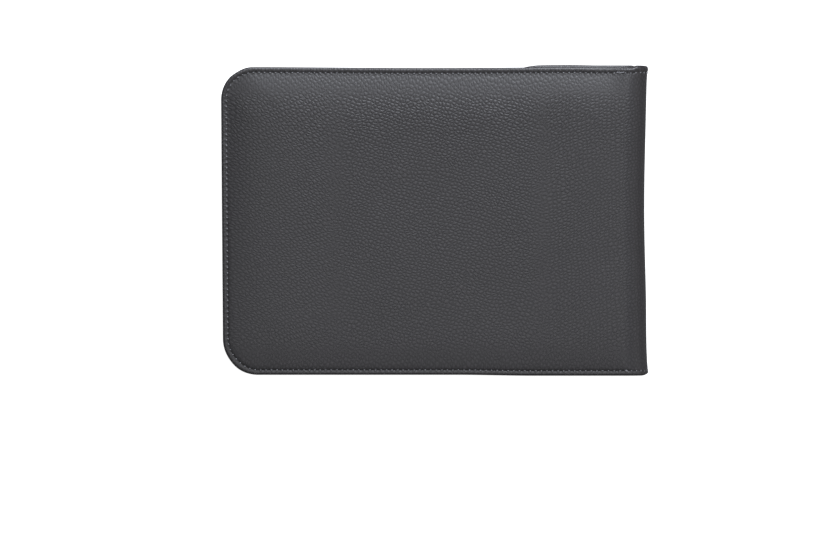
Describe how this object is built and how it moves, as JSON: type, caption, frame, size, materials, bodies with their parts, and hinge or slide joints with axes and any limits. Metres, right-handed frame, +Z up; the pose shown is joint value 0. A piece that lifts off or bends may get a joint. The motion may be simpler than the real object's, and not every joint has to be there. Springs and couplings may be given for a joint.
{
  "type": "passport holder wallet",
  "caption": "Bifold leather wallet with padded, stitched covers, a passport pocket, a slip pocket and stepped card pockets.",
  "frame": {"origin": "centre of the closed wallet's outline, on the surface that the front cover lies on", "axes": "+X towards the spine, +Y along the spine, +Z up from the front cover to the rear cover"},
  "size_m": [0.141, 0.102, 0.016],
  "materials": {
    "outer_leather": "pebbled semi-matte",
    "pocket_leather": "fine grain semi-matte",
    "lining_cloth": "twill weave",
    "pocket_cloth": "plain weave",
    "padding_foam": "closed-cell foam",
    "stiffening_board": "fibreboard",
    "interlining": "non-woven",
    "thread": "twisted polyester"
  },
  "bodies": {
    "front_half": {"front_cover_leather": "outer_leather", "front_padding": "padding_foam", "front_board": "stiffening_board", "front_lining": "lining_cloth", "front_seam_outer_thread": "thread", "front_seam_inner_thread": "thread", "front_bartacks": "thread", "slip_pocket_panel": "pocket_leather", "card_pocket_4_strip": "pocket_leather", "card_pocket_4_fabric": "pocket_cloth", "card_pocket_3_strip": "pocket_leather", "card_pocket_3_fabric": "pocket_cloth", "card_pocket_2_strip": "pocket_leather", "card_pocket_2_fabric": "pocket_cloth", "card_pocket_1_panel": "pocket_leather", "card_pocket_mouth_threads": "thread", "card_pocket_base_threads": "thread"},
    "spine": {"spine_leather": "outer_leather", "spine_interlining": "interlining", "spine_lining": "lining_cloth", "spine_seam_thread": "thread"},
    "rear_half": {"rear_cover_leather": "outer_leather", "rear_padding": "padding_foam", "rear_board": "stiffening_board", "rear_lining": "lining_cloth", "rear_seam_outer_thread": "thread", "rear_seam_inner_thread": "thread", "rear_bartacks": "thread", "passport_pocket_panel": "pocket_leather", "passport_pocket_backing": "pocket_cloth"}
  },
  "joints": [
    {"name": "front_fold", "type": "hinge", "parent": "front_half", "child": "spine", "pos_m": [0.06878, 0, 0.00172], "axis": [0, 1, 0], "range_deg": [0, 90]},
    {"name": "rear_fold", "type": "hinge", "parent": "spine", "child": "rear_half", "pos_m": [0.06878, 0, 0.01428], "axis": [0, 1, 0], "range_deg": [0, 90]}
  ],
  "couplings": [
    {"joint": "rear_fold", "follows": "front_fold", "ratio": 1}
  ]
}
